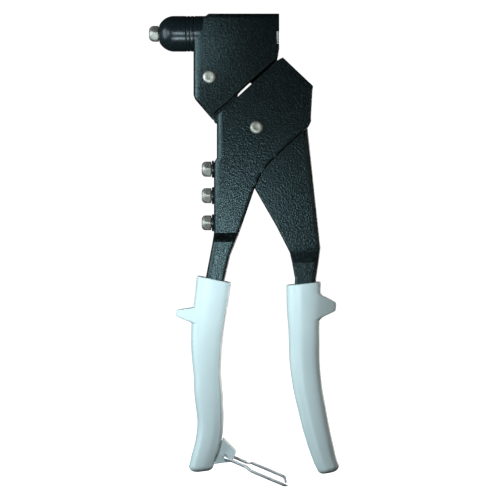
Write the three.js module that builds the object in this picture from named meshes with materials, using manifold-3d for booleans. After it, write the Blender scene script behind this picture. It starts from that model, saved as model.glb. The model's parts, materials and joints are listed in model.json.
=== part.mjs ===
// Hand riveter: a pressed-steel, double-lever tool for blind rivets.
// Millimetres. X runs from the nose to the rear along the mandrel axis, Z is up, Y is across the tool.
// The origin is the centre of the fitted nosepiece's front face. The handles are shown fully open.
import * as THREE from "three";
import { mergeVertices } from "three/addons/utils/BufferGeometryUtils.js";
import Module from "manifold-3d";

const wasm = await Module();
wasm.setup();

// ---------------------------------------------------------------- driving dimensions

const SHEET = 1.8; // pressed sheet thickness
const FIT = 0.3; // gap between pieces that touch
const RUNNING = 0.08; // radial clearance of a pin in its bush
const OUTER_HALF = 12; // half width of the head and of the handle, over their side plates
const LEVER_HALF = 9.8; // half width of the lever, which runs inside both
const NECK_HALF = 7.5; // half width of both channels below their joggles, inside the grips
const BARREL_RADIUS = 10;
const AXIS_PIN = { x: 34.5, z: -26.0 }; // the lever's pivot on the head
const MAIN_PIN = { x: 60.9, z: -54.1 }; // the handle's pivot on the lever
const PIN_RADIUS = 2.3;
const PIN_HEAD_RADIUS = 3.75;
const HEX_ACROSS_FLATS = 8.4; // every nosepiece
const HEX_LENGTH = 5.4;
const NOSE_SHANK_RADIUS = 2.9;
const SPARE_HEIGHTS = [-76.7, -91.7, -107.1]; // centres of the spare nosepieces
const SPARE_BORES = [1.3, 1.7, 2.1];
const FITTED_BORE = 1.1;
const FITTED_SHANK_END = 12.2; // from the front face to the end of the shank
const SPARE_SHANK_END = 11.8;
const BOSS_RADIUS = 3.8; // of the bosses that hold the spare nosepieces
const BOSS_FLANGE = 1.1; // thickness of a boss's flange
const WEB_X = 36.9; // outer face of the handle's web, where the spare nosepieces are screwed in
const TUBE_RADIUS = 4.4; // pull tube
const FORK_PIN = { x: 39.1, z: 0.8, radius: 1.9 };
const COLLAR_X = FORK_PIN.x + FORK_PIN.radius + FIT; // front face of the pull tube's collar
const COLLAR_LENGTH = 3;
const COLLAR_RADIUS = 7.6;
const END_PLATE_X = 72;
const END_PLATE = 1.4; // its thickness
const BAIL_PIVOT = { x: 43, z: -239 };
const BAIL_WIRE = 1; // wire radius
const BAIL_TILT = THREE.MathUtils.degToRad(-23); // direction of the bail, below the X axis
const BAIL_LENGTH = 37.5;
const BAIL_NARROW = 8; // half width at the bracket
const BAIL_WIDE = 14.4; // half width where it passes round the other grip
const ROUND_SIDES = 20; // sides of the turned pieces
const SPRING_SIDES = 6;

// ---------------------------------------------------------------- materials

function finish(name, color, roughness, metalness) {
  return new THREE.MeshStandardMaterial({ name, color, roughness, metalness });
}

const material = {
  wrinkle: finish("black_wrinkle_paint", 0x2c3b3b, 0.55, 0.2),
  gloss: finish("black_gloss_paint", 0x1c2626, 0.3, 0.2),
  nickel: finish("nickel_plate", 0xb4b3ab, 0.3, 0.95),
  zinc: finish("zinc_plate", 0xa9adab, 0.4, 0.9),
  steel: finish("machined_steel", 0x8d9091, 0.35, 0.95),
  spring: finish("spring_steel", 0x707476, 0.35, 0.95),
  vinyl: finish("grip_vinyl", 0xbcd6d6, 0.5, 0),
};

// ---------------------------------------------------------------- solids

// A manifold solid from any closed three.js geometry, with its faces turned outwards.
function solid(geometry) {
  const bare = geometry.clone();
  bare.deleteAttribute("normal");
  if (bare.getAttribute("uv")) bare.deleteAttribute("uv");
  const merged = mergeVertices(bare, 1e-4);
  const index = merged.index.array;
  const triangles = [];
  for (let i = 0; i < index.length; i += 3) {
    const [a, b, c] = [index[i], index[i + 1], index[i + 2]];
    if (a !== b && b !== c && a !== c) triangles.push(a, b, c);
  }
  const vertices = merged.getAttribute("position").array;
  const build = (triVerts) =>
    new wasm.Manifold(
      new wasm.Mesh({ numProp: 3, vertProperties: vertices, triVerts: new Uint32Array(triVerts) }),
    );
  const made = build(triangles);
  return made.volume() > 0 ? made : build(triangles.reverse());
}

const join = (first, ...others) => others.reduce((all, next) => all.add(next), first);
const cut = (first, ...others) => others.reduce((all, next) => all.subtract(next), first);
const common = (first, ...others) => others.reduce((all, next) => all.intersect(next), first);

function geometryOf(manifold) {
  const mesh = manifold.getMesh();
  const geometry = new THREE.BufferGeometry();
  geometry.setAttribute("position", new THREE.BufferAttribute(mesh.vertProperties, 3));
  geometry.setIndex(new THREE.BufferAttribute(mesh.triVerts, 1));
  const shaded = geometry.toNonIndexed();
  shaded.computeVertexNormals();
  return shaded;
}

// A closed outline through corners [u, v, radius]: a corner with a radius is rounded.
function outline(corners) {
  const shape = new THREE.Shape();
  corners.forEach(([u, v, radius = 0], i) => {
    const here = new THREE.Vector2(u, v);
    const before = new THREE.Vector2(...corners.at(i - 1)).sub(here);
    const after = new THREE.Vector2(...corners[(i + 1) % corners.length]).sub(here);
    const turn = Math.abs(Math.PI - before.angleTo(after));
    const reach = radius * Math.tan(turn / 2);
    const enter = here.clone().addScaledVector(before.normalize(), reach);
    const leave = here.clone().addScaledVector(after.normalize(), reach);
    if (i === 0) shape.moveTo(enter.x, enter.y);
    else shape.lineTo(enter.x, enter.y);
    if (radius > 0) shape.quadraticCurveTo(u, v, leave.x, leave.y);
  });
  shape.closePath();
  return shape;
}

// An XZ outline extruded across the tool, from y = low to y = high.
function sideSolid(shape, low, high, curveSegments = 4) {
  const options = { depth: high - low, bevelEnabled: false, curveSegments };
  const geometry = new THREE.ExtrudeGeometry(shape, options);
  geometry.rotateX(Math.PI / 2).translate(0, high, 0);
  return solid(geometry);
}

// An XY outline extruded upwards, from z = low to z = high.
function planSolid(shape, low, high, curveSegments = 4) {
  const options = { depth: high - low, bevelEnabled: false, curveSegments };
  return solid(new THREE.ExtrudeGeometry(shape, options).translate(0, 0, low));
}

// A YZ outline extruded to the rear, from x = low to x = high.
function frontSolid(shape, low, high, curveSegments = 4) {
  const options = { depth: high - low, bevelEnabled: false, curveSegments };
  const geometry = new THREE.ExtrudeGeometry(shape, options);
  geometry.rotateX(Math.PI / 2).rotateZ(Math.PI / 2).translate(low, 0, 0);
  return solid(geometry);
}

// A profile of [distance along, radius] points turned about its own axis, which is laid on X or Y.
function turned(profile, axis = "x", sides = ROUND_SIDES) {
  const points = profile.map(([along, radius]) => new THREE.Vector2(radius, along));
  const geometry = new THREE.LatheGeometry(points, sides);
  if (axis === "x") geometry.rotateZ(-Math.PI / 2);
  return solid(geometry);
}

const rod = (from, to, radius, axis = "x", sides = ROUND_SIDES) =>
  turned([[from, 0], [from, radius], [to, radius], [to, 0]], axis, sides);

const tube = (from, to, inner, outer, axis = "x", sides = ROUND_SIDES) =>
  turned([[from, inner], [from, outer], [to, outer], [to, inner], [from, inner]], axis, sides);

const at = (manifold, { x = 0, y = 0, z = 0 }) => manifold.translate([x, y, z]);

// A solid with the same ring of points at every station, closed by flat ends.
function loft(rings) {
  const count = rings[0].length;
  const positions = rings.flat().flatMap((p) => [p.x, p.y, p.z]);
  const index = [];
  for (let i = 0; i + 1 < rings.length; i++) {
    for (let j = 0; j < count; j++) {
      const k = (j + 1) % count;
      const [a, b, c, d] = [i * count + j, i * count + k, (i + 1) * count + k, (i + 1) * count + j];
      index.push(a, b, c, a, c, d);
    }
  }
  const last = (rings.length - 1) * count;
  for (let j = 1; j + 1 < count; j++) {
    index.push(0, j + 1, j);
    index.push(last, last + j, last + j + 1);
  }
  const geometry = new THREE.BufferGeometry();
  geometry.setAttribute("position", new THREE.Float32BufferAttribute(positions, 3));
  geometry.setIndex(index);
  return solid(geometry);
}

// A level rectangle from x = left to x = right and y = -half to half, with rounded corners:
// leftRadius on the two corners at the left and rightRadius on the two at the right.
function levelRing({ z, left, right, half }, leftRadius, rightRadius, steps = 4) {
  const corners = [
    [left + leftRadius, -half + leftRadius, leftRadius, Math.PI],
    [right - rightRadius, -half + rightRadius, rightRadius, 1.5 * Math.PI],
    [right - rightRadius, half - rightRadius, rightRadius, 0],
    [left + leftRadius, half - leftRadius, leftRadius, 0.5 * Math.PI],
  ];
  return corners.flatMap(([x, y, radius, start]) =>
    Array.from({ length: steps + 1 }, (_, i) => {
      const angle = start + (i / steps) * 0.5 * Math.PI;
      return new THREE.Vector3(x + radius * Math.cos(angle), y + radius * Math.sin(angle), z);
    }),
  );
}

const channel = (stations, leftRadius, rightRadius) =>
  loft(stations.map((station) => levelRing(station, leftRadius, rightRadius)));

// A rounded section at right angles to a path in the XZ plane: across is its half width in that
// plane, deep its half width along Y. The exponent 2 gives an ellipse, more gives a squarer one.
function sectionRing(point, tangent, across, deep, exponent, count) {
  return Array.from({ length: count }, (_, i) => {
    const angle = (i / count) * 2 * Math.PI;
    const [c, s] = [Math.cos(angle), Math.sin(angle)];
    const u = across * Math.sign(c) * Math.abs(c) ** (2 / exponent);
    const v = deep * Math.sign(s) * Math.abs(s) ** (2 / exponent);
    return new THREE.Vector3(point.x - tangent.z * u, v, point.z + tangent.x * u);
  });
}

const smooth = (points) =>
  new THREE.CatmullRomCurve3(points.map(([x, z]) => new THREE.Vector3(x, 0, z)), false, "centripetal");

// A round wire along a path.
function wire(path, radius, steps, sides = SPRING_SIDES) {
  const section = new THREE.Shape();
  for (let i = 0; i < sides; i++) {
    const angle = (i / sides) * 2 * Math.PI;
    const [u, v] = [radius * Math.cos(angle), radius * Math.sin(angle)];
    if (i === 0) section.moveTo(u, v);
    else section.lineTo(u, v);
  }
  section.closePath();
  return solid(new THREE.ExtrudeGeometry(section, { steps, extrudePath: path, bevelEnabled: false }));
}

// A compression spring along X, wound round the mandrel axis, with close end turns.
function coilSpring(from, to, meanRadius, wireRadius, turns) {
  const stepsPerTurn = 10;
  class Helix extends THREE.Curve {
    getPoint(t, target = new THREE.Vector3()) {
      const eased = t - Math.sin(2 * Math.PI * t) / (2 * Math.PI) * 0.6;
      const angle = 2 * Math.PI * turns * t;
      const x = from + wireRadius + eased * (to - from - 2 * wireRadius);
      return target.set(x, meanRadius * Math.cos(angle), meanRadius * Math.sin(angle));
    }
  }
  return wire(new Helix(), wireRadius, Math.round(turns * stepsPerTurn));
}

// ---------------------------------------------------------------- head

const BARREL = { front: HEX_LENGTH + FIT, shoulder: 14, base: 30, spigot: 33.6, bore: 7.5, neck: 8.5 };

const HEAD = {
  front: 25.4, // outer face of the front web
  rear: 73.4,
  top: 9.8,
  chamferTop: -35.8, // where the front web ends and the lower chamfer starts
  tip: [35.8, -47.8], // lowest point, at the foot of the seam
  seamEnd: [72.2, -15.5], // upper end of the seam
  rearFoot: -10.4, // lower end of the rear edge
  frontBend: 4,
  topBend: 2.8,
  notch: { low: -7.6, high: -0.2, depth: 1.6 }, // in the rear edges, for the end plate's lugs
};

// The head's side outline. Grow moves its two folded edges, at the front and the top, outwards.
// Open moves its cut edges, at the rear, the seam and the chamfer, outwards.
function headOutline(grow, open) {
  const { front, rear, top, chamferTop, tip, seamEnd, rearFoot } = HEAD;
  return outline([
    [front - grow, chamferTop - open, 1],
    [tip[0] - open, tip[1] - 2 * open, 0.6],
    [seamEnd[0] + open, seamEnd[1] - open, 0.8],
    [rear + open, rearFoot, 0.8],
    [rear + open, top + grow, 0.8],
    [front - grow, top + grow, 0.2],
  ]);
}

// A shallow relief in the seam edge of one side plate, seen through the opposite seam.
function seamRelief() {
  const shape = outline([
    [49.6, -37],
    [50.2, -32.9, 0.6],
    [57.3, -26.1, 0.6],
    [59.4, -29],
  ]);
  return sideSolid(shape, OUTER_HALF - SHEET - FIT, OUTER_HALF + 1);
}

// The front corner of the head is cut away obliquely above the barrel.
function barrelWindow() {
  return outline([
    [HEAD.front - 1, -7.4],
    [HEAD.front, -7.4],
    [27.4, -3.8, 3],
    [30.6, 0.6, 3],
    [31.4, HEAD.top - 2.6, 1],
    [34.2, HEAD.top, 1],
    [34.6, HEAD.top + 1],
    [HEAD.front - 1, HEAD.top + 1],
  ]);
}

function headFrame() {
  const { front, rear, top, frontBend, topBend, notch } = HEAD;
  const folded = (inset) => {
    const half = OUTER_HALF - inset;
    const bend = frontBend - inset;
    const crown = topBend - inset;
    const plan = outline([
      [front + inset, -half, bend],
      [rear + 5, -half],
      [rear + 5, half],
      [front + inset, half, bend],
    ]);
    const section = outline([
      [-half, -60],
      [half, -60],
      [half, top - inset, crown],
      [-half, top - inset, crown],
    ]);
    return common(
      sideSolid(headOutline(-inset, inset > 0 ? 4 : 0), -half, half),
      planSolid(plan, -60, 20, 5),
      frontSolid(section, front - 1, rear + 5, 5),
    );
  };
  const corner = sideSolid(barrelWindow(), -OUTER_HALF - 1, OUTER_HALF + 1);
  const notches = sideSolid(
    outline([
      [rear - notch.depth, notch.low],
      [rear + 1, notch.low],
      [rear + 1, notch.high],
      [rear - notch.depth, notch.high],
    ]),
    -OUTER_HALF - 1,
    OUTER_HALF + 1,
  );
  const pinHole = at(rod(-20, 20, PIN_RADIUS + RUNNING, "y"), AXIS_PIN);
  const barrelSeat = join(
    rod(20, BARREL.base + FIT, BARREL_RADIUS + FIT, "x", 36),
    rod(20, BARREL.spigot + FIT, BARREL.neck + FIT, "x", 36),
  );
  return cut(folded(0), folded(SHEET), corner, notches, seamRelief(), pinHole, barrelSeat);
}

function noseBarrel() {
  const { front, shoulder, base, spigot, bore, neck } = BARREL;
  const dome = [];
  for (let i = 0; i <= 8; i++) {
    const angle = (i / 8) * 0.5 * Math.PI;
    dome.push([
      shoulder - (shoulder - front) * Math.cos(angle),
      4.4 + (BARREL_RADIUS - 4.4) * Math.sin(angle) ** 1.45,
    ]);
  }
  const threadRadius = NOSE_SHANK_RADIUS + FIT;
  const threadEnd = JAW_CASE.front - FIT;
  const grooves = [22.4, 24.6].flatMap((x) => [
    [x - 0.4, BARREL_RADIUS],
    [x, BARREL_RADIUS - 0.3],
    [x + 0.4, BARREL_RADIUS],
  ]);
  return turned(
    [
      [front, threadRadius],
      ...dome,
      ...grooves,
      [base, BARREL_RADIUS],
      [base, neck],
      [spigot, neck],
      [spigot, bore],
      [threadEnd, bore],
      [threadEnd, threadRadius],
      [front, threadRadius],
    ],
    "x",
    36,
  );
}

// The steel plate across the head that the barrel is screwed into.
function barrelMountPlate() {
  const half = OUTER_HALF - SHEET - FIT;
  const shape = outline([
    [-half, -13.4, 1],
    [half, -13.4, 1],
    [half, HEAD.top - SHEET - FIT, 1.2],
    [-half, HEAD.top - SHEET - FIT, 1.2],
  ]);
  const plate = frontSolid(shape, BARREL.base + FIT, BARREL.spigot);
  const window = sideSolid(barrelWindow(), -OUTER_HALF, OUTER_HALF);
  return cut(plate, rod(20, 40, BARREL.neck + FIT), window.translate([-FIT, 0, FIT]));
}

// Hexagonal nosepiece with a domed front face at x = 0, a threaded shank and a cone at its rear.
function nosepiece(bore, shankEnd) {
  const circumradius = HEX_ACROSS_FLATS / 2 / Math.cos(Math.PI / 6);
  const hexagon = rod(0, HEX_LENGTH, circumradius, "x", 6).rotate([30, 0, 0]);
  const dome = turned([
    [0, 0],
    [0, 2.7],
    [0.5, 3.5],
    [1.3, 4.1],
    [2.6, 4.6],
    [4, 5],
    [HEX_LENGTH + 1, 5],
    [HEX_LENGTH + 1, 0],
  ]);
  const shank = turned([
    [HEX_LENGTH - 1, 0],
    [HEX_LENGTH - 1, NOSE_SHANK_RADIUS],
    [shankEnd - 1.4, NOSE_SHANK_RADIUS],
    [shankEnd, bore + 0.7],
    [shankEnd, 0],
  ]);
  return cut(join(common(hexagon, dome), shank), rod(-1, shankEnd + 1, bore, "x", 16));
}

// Closes the rear of the head. Its lugs sit in the notches of the side plates, and the mandrels
// leave through its hole.
function rearEndPlate() {
  const half = OUTER_HALF - SHEET - FIT;
  const { low, high, depth } = HEAD.notch;
  const body = frontSolid(
    outline([
      [-half, -11, 1.5],
      [half, -11, 1.5],
      [half, HEAD.top - SHEET - FIT, 1],
      [-half, HEAD.top - SHEET - FIT, 1],
    ]),
    END_PLATE_X,
    END_PLATE_X + END_PLATE,
  );
  const lugs = frontSolid(
    outline([
      [-OUTER_HALF + 0.1, low + FIT],
      [OUTER_HALF - 0.1, low + FIT],
      [OUTER_HALF - 0.1, high - FIT],
      [-OUTER_HALF + 0.1, high - FIT],
    ]),
    HEAD.rear - depth + FIT,
    END_PLATE_X + END_PLATE,
  );
  return cut(join(body, lugs), rod(END_PLATE_X - 2, END_PLATE_X + 3, 3));
}

// A pivot pin with a domed head in front and a groove for its clip at the back.
function pivotPin(place) {
  const seat = -OUTER_HALF - FIT;
  const groove = OUTER_HALF + FIT;
  return at(
    turned(
      [
        [seat - 1.7, 0],
        [seat - 1.6, 1.6],
        [seat - 1.2, 2.8],
        [seat - 0.6, 3.5],
        [seat - 0.1, PIN_HEAD_RADIUS],
        [seat, PIN_HEAD_RADIUS],
        [seat, PIN_RADIUS],
        [groove, PIN_RADIUS],
        [groove, 1.6],
        [groove + 0.8, 1.6],
        [groove + 0.8, PIN_RADIUS],
        [groove + 1.3, PIN_RADIUS],
        [groove + 1.6, 1.8],
        [groove + 1.6, 0],
      ],
      "y",
    ),
    place,
  );
}

// The E-shaped clip that holds a pivot pin in place.
function pivotClip(place) {
  const low = OUTER_HALF + FIT + 0.1;
  const ring = tube(low, low + 0.6, 1.75, 4.4, "y");
  const mouth = sideSolid(
    outline([
      [-1.3, -6],
      [1.3, -6],
      [1.3, 0],
      [-1.3, 0],
    ]),
    low - 1,
    low + 2,
  );
  const relief = rod(low - 1, low + 2, 1, "y", 12);
  const reliefs = [-2.3, 2.3].map((x) => relief.translate([x, 0, 1.5]));
  return at(cut(ring, mouth, ...reliefs), place);
}

// ---------------------------------------------------------------- puller and jaws

const JAW_CASE = { front: 12.9, rear: 33.4, radius: 7.2 };
const LOCK_NUT = { length: 2.7, acrossFlats: 13 };
const CONE = { half: THREE.MathUtils.degToRad(18), start: 3.2, end: 20.4 };
const coneRadius = (x) => CONE.start + (x - JAW_CASE.front) * Math.tan(CONE.half);
const TUBE = { front: 29, rear: 66, bore: 2.6, threadRadius: coneRadius(CONE.end) - FIT };

function jawCase() {
  const { front, rear, radius } = JAW_CASE;
  const inner = coneRadius(CONE.end);
  return turned([
    [front, CONE.start],
    [front, 5.4],
    [front + 1.8, radius],
    [rear, radius],
    [rear, inner],
    [CONE.end, inner],
    [front, CONE.start],
  ]);
}

function pullTube() {
  const { front, rear, bore, threadRadius } = TUBE;
  const threadEnd = JAW_CASE.rear + LOCK_NUT.length + 2 * FIT;
  return turned([
    [front, bore],
    [front, threadRadius],
    [threadEnd, threadRadius],
    [threadEnd, TUBE_RADIUS],
    [COLLAR_X, TUBE_RADIUS],
    [COLLAR_X, COLLAR_RADIUS],
    [COLLAR_X + COLLAR_LENGTH, COLLAR_RADIUS],
    [COLLAR_X + COLLAR_LENGTH, TUBE_RADIUS],
    [rear, TUBE_RADIUS],
    [rear, bore],
    [front, bore],
  ]);
}

function lockNut() {
  const { length, acrossFlats } = LOCK_NUT;
  const from = JAW_CASE.rear + FIT;
  const hexagon = rod(from, from + length, acrossFlats / 2 / Math.cos(Math.PI / 6), "x", 6);
  return cut(hexagon, rod(from - 1, from + length + 1, TUBE.threadRadius + 0.2));
}

const PUSHER = { front: 19.4, rear: 23.6 };

function jawPusher() {
  const { front, rear } = PUSHER;
  return turned([
    [front, 1.7],
    [front, 3],
    [front + 1.2, 4.6],
    [rear, 4.6],
    [rear, 3.2],
    [rear + 3, 3.2],
    [rear + 3, 1.7],
    [front, 1.7],
  ]);
}

// One of two half-cone jaws; side is 1 for the upper and -1 for the lower.
function jaw(side) {
  const start = JAW_CASE.front + 0.9;
  const end = PUSHER.front - FIT;
  const clear = FIT / Math.cos(CONE.half);
  const cone = turned([
    [start, 0],
    [start, coneRadius(start) - clear],
    [end, coneRadius(end) - clear],
    [end, 0],
  ]);
  const half = sideSolid(
    outline([
      [start - 1, 0.6 * side],
      [end + 1, 0.6 * side],
      [end + 1, 8 * side],
      [start - 1, 8 * side],
    ]),
    -8,
    8,
  );
  return cut(common(cone, half), rod(10, 25, 1.1, "x", 12));
}

// ---------------------------------------------------------------- lever

const GRIP_TOP = -139; // height at which both channels enter their grips

const LEVER = {
  // The outer edge, which carries the web, and the inner edge, from the main body to the neck.
  stations: [
    { z: -54.4, left: 64, right: 89.6, half: LEVER_HALF },
    { z: -88, left: 60.2, right: 93.2, half: LEVER_HALF },
    { z: -109, left: 72.3, right: 95.5, half: LEVER_HALF },
    { z: -121.4, left: 78.6, right: 96.8, half: LEVER_HALF },
    { z: -124, left: 79.9, right: 96.5, half: LEVER_HALF - 0.3 },
    { z: -129.5, left: 81.1, right: 95.9, half: NECK_HALF },
    { z: GRIP_TOP, left: 82.8, right: 94.5, half: NECK_HALF },
    { z: -150, left: 82.3, right: 93.7, half: NECK_HALF },
    { z: -172, left: 82.6, right: 93.8, half: NECK_HALF },
    { z: -186, left: 83.2, right: 94.4, half: NECK_HALF },
    { z: -200, left: 84.7, right: 95.7, half: NECK_HALF },
    { z: -212, left: 87.0, right: 97.6, half: NECK_HALF },
    { z: -226, left: 90.4, right: 100.6, half: NECK_HALF },
  ],
  bend: 2.6,
  edge: 0.6,
};

function leverFrame() {
  const { stations, bend, edge } = LEVER;
  const inner = stations.map(({ z, left, right, half }) => ({
    z,
    left: left - 30,
    right: right - SHEET,
    half: half - SHEET,
  }));
  inner[0].z += 5;
  inner.at(-1).z -= 5;
  const body = cut(channel(stations, edge, bend), channel(inner, 0.1, bend - SHEET));
  const arms = outline([
    [AXIS_PIN.x - 5.9, AXIS_PIN.z - 3, 5],
    [AXIS_PIN.x - 5.4, AXIS_PIN.z + 5, 5],
    [36, -11, 4],
    [34.8, FORK_PIN.z + 4.4, 4],
    [43.4, FORK_PIN.z + 4.4, 4],
    [44.6, -12, 6],
    [41.6, -27, 4],
    [50.3, -36.8, 3],
    [64, -44.4, 6],
    [87.8, -53.2, 1],
    [89.6 - SHEET, -60],
    [60.4, -88.4],
    [54.5, -76, 8],
    [49, -60, 8],
    [41.8, -51.4, 1.5],
    [36.9, -49.7, 1],
  ]);
  const armPair = cut(
    sideSolid(arms, -LEVER_HALF, LEVER_HALF, 3),
    sideSolid(arms, SHEET - LEVER_HALF, LEVER_HALF - SHEET, 3),
  );
  const holes = [
    at(rod(-20, 20, PIN_RADIUS + RUNNING, "y"), AXIS_PIN),
    at(rod(-20, 20, PIN_RADIUS + RUNNING, "y"), MAIN_PIN),
    at(rod(-20, 20, FORK_PIN.radius - 0.4, "y"), FORK_PIN),
  ];
  return cut(join(body, armPair), ...holes);
}

// Spacer on a pivot pin, between the lever's two side plates.
function pivotBush(place) {
  const half = LEVER_HALF - SHEET - FIT;
  return at(tube(-half, half, PIN_RADIUS + RUNNING, 4.3, "y"), place);
}

// A short pin on the inner side of a fork arm, riveted through it, that pushes on the collar.
function forkPin(side) {
  const neck = FORK_PIN.radius - 0.7;
  const face = LEVER_HALF - SHEET - FIT;
  const profile = [
    [face - 2.6, 0],
    [face - 2.6, FORK_PIN.radius],
    [face, FORK_PIN.radius],
    [face, neck],
    [LEVER_HALF - 0.1, neck],
    [LEVER_HALF - 0.1, 0],
  ];
  const pin = turned(profile, "y", 16);
  return at(side > 0 ? pin : pin.mirror([0, 1, 0]), FORK_PIN);
}

// ---------------------------------------------------------------- handle

const HANDLE = {
  seamFoot: [38.5, -47.8],
  seamTop: [72.3, -16.7],
  peak: [75.4, -15.0],
  shoulder: [92.3, -31.0],
  wallEnd: [91.2, -50.8],
  heel: [89.5, -53.7],
  edgeTurn: [71.3, -70.5],
  crotch: [59.7, -87.3],
  webTop: -51.2, // the web stops short of the seam, to let the lever's side plates through
  bend: 3.2,
  lip: 1.7,
  // The web on the left and the cut edge of the side plates on the right, from the top down.
  stations: [
    { z: -10, left: WEB_X + 1.6, right: 100, half: OUTER_HALF },
    { z: -71, left: WEB_X + 1.6, right: 100, half: OUTER_HALF },
    { z: -73.3, left: WEB_X, right: 80, half: OUTER_HALF },
    { z: -87.3, left: WEB_X, right: 59.9, half: OUTER_HALF },
    { z: -105.5, left: WEB_X, right: 53.7, half: OUTER_HALF },
    { z: -112.9, left: WEB_X, right: 50.9, half: OUTER_HALF },
    { z: -118, left: 36, right: 48.9, half: NECK_HALF },
    { z: -125.6, left: 34.5, right: 45.9, half: NECK_HALF },
    { z: GRIP_TOP, left: 32, right: 42.8, half: NECK_HALF },
    { z: -150, left: 30.1, right: 40.9, half: NECK_HALF },
    { z: -165, left: 28.2, right: 38.8, half: NECK_HALF },
    { z: -180, left: 27.4, right: 37.8, half: NECK_HALF },
    { z: -199.5, left: 28.4, right: 38.4, half: NECK_HALF },
    { z: -218.7, left: 29.9, right: 39.5, half: NECK_HALF },
    { z: -229, left: 29.4, right: 38.6, half: NECK_HALF },
  ],
};

// Side outline of the handle: the seam, the two folded walls at the upper right, and the neck.
function handleOutline() {
  const { seamFoot, seamTop, peak, shoulder, wallEnd, heel, edgeTurn, crotch } = HANDLE;
  return outline([
    [...seamFoot, 1.6],
    [...seamTop, 0.4],
    [...peak, 0.8],
    [...shoulder, 0.6],
    [...wallEnd, 0.4],
    [...heel, 0.4],
    [...edgeTurn, 6],
    [64.3, -78.1, 6],
    [...crotch, 3],
    [50.9, -112.9],
    [47, -123],
    [44, -260],
    [20, -260],
    [30, -60],
  ]);
}

// Side outline of the space inside the handle, open along the seam and towards the lever.
function handleHollowOutline() {
  const { seamTop, peak, shoulder, wallEnd, heel } = HANDLE;
  return outline([
    [20, -260],
    [20, -42],
    [seamTop[0] - 3, seamTop[1] + 12],
    [peak[0] - 0.6, peak[1] - 1.9, 0.5],
    [shoulder[0] - SHEET, shoulder[1] - 0.8, 0.5],
    [wallEnd[0] - SHEET, wallEnd[1]],
    [heel[0] + 12, heel[1] - 0.1],
    [100, -260],
  ]);
}

function handleFrame() {
  const { stations, bend, lip, webTop } = HANDLE;
  const inner = stations.map(({ z, left, half }) => ({
    z,
    left: left + SHEET,
    right: 110,
    half: half - SHEET,
  }));
  inner.at(-1).z -= 5;
  const outside = common(
    channel(stations, bend, lip),
    sideSolid(handleOutline(), -OUTER_HALF, OUTER_HALF),
  );
  const hollow = common(
    channel(inner, bend - SHEET, 0.1),
    sideSolid(handleHollowOutline(), -OUTER_HALF, OUTER_HALF),
  );
  const throat = sideSolid(
    outline([
      [30, webTop],
      [46, webTop],
      [46, webTop + 12],
      [30, webTop + 12],
    ]),
    SHEET - OUTER_HALF,
    OUTER_HALF - SHEET,
  );
  const pinHole = at(rod(-20, 20, PIN_RADIUS + RUNNING, "y"), MAIN_PIN);
  const bossHoles = SPARE_HEIGHTS.map((z) =>
    at(rod(WEB_X - 3, WEB_X + 6, BOSS_RADIUS + FIT), { z }),
  );
  return cut(outside, hollow, throat, pinHole, ...bossHoles);
}

// Flanged, threaded boss pressed into the handle's web to hold a spare nosepiece.
function nosepieceBoss(z) {
  const face = WEB_X - FIT;
  const front = face - BOSS_FLANGE;
  const bore = NOSE_SHANK_RADIUS + FIT;
  const boss = turned([
    [front, bore],
    [front, 4.5],
    [front + 0.3, 4.9],
    [face, 4.9],
    [face, BOSS_RADIUS],
    [face + 5, BOSS_RADIUS],
    [face + 5, bore],
    [front, bore],
  ]);
  return at(boss, { z });
}

function spareNosepiece(i) {
  const x = WEB_X - FIT - BOSS_FLANGE - FIT - HEX_LENGTH;
  return at(nosepiece(SPARE_BORES[i], SPARE_SHANK_END), { x, z: SPARE_HEIGHTS[i] });
}

// ---------------------------------------------------------------- grips

// Centre line of a grip from its open top to its lower end, with its half width in the XZ plane.
const HANDLE_GRIP = {
  path: [
    [36.85, -139],
    [35.5, -149.5],
    [33.4, -164.7],
    [32.6, -180.1],
    [33.4, -199.5],
    [34.8, -218.7],
    [33.6, -230.3],
    [31.4, -239],
    [30.1, -244],
  ],
  across: [9.8, 9.5, 9.2, 8.5, 7.7, 8.0, 7.4, 7.2, 6.6],
  lean: [-0.057, -0.02, 0, 0, 0, 0, 0.04, 0.2, 0.4],
  horn: { root: [25.4, -158.6], end: [16.3, -157.6], rootHalf: 4.6, endHalf: 1.7 },
};

const LEVER_GRIP = {
  path: [
    [87.65, -141.4],
    [87.5, -156.9],
    [87.9, -172.4],
    [88.2, -186],
    [89.7, -199.6],
    [92, -211.2],
    [95, -225],
    [99, -239.2],
    [101.3, -244.8],
  ],
  across: [9.8, 9.4, 8.7, 8.6, 8.4, 8.1, 7.7, 7.2, 6.4],
  lean: [0.11, 0.04, 0, 0, 0, 0, 0, -0.08, -0.18],
  horn: { root: [95.4, -155.2], end: [105.9, -154.4], rootHalf: 7, endHalf: 2 },
};

const GRIP_DEEP = [10.4, 10.4, 10.2, 10, 9.9, 9.8, 9.5, 9.1, 8.4];

const sample = (values, t) => {
  const place = t * (values.length - 1);
  const i = Math.min(Math.floor(place), values.length - 2);
  return THREE.MathUtils.lerp(values[i], values[i + 1], place - i);
};

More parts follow.
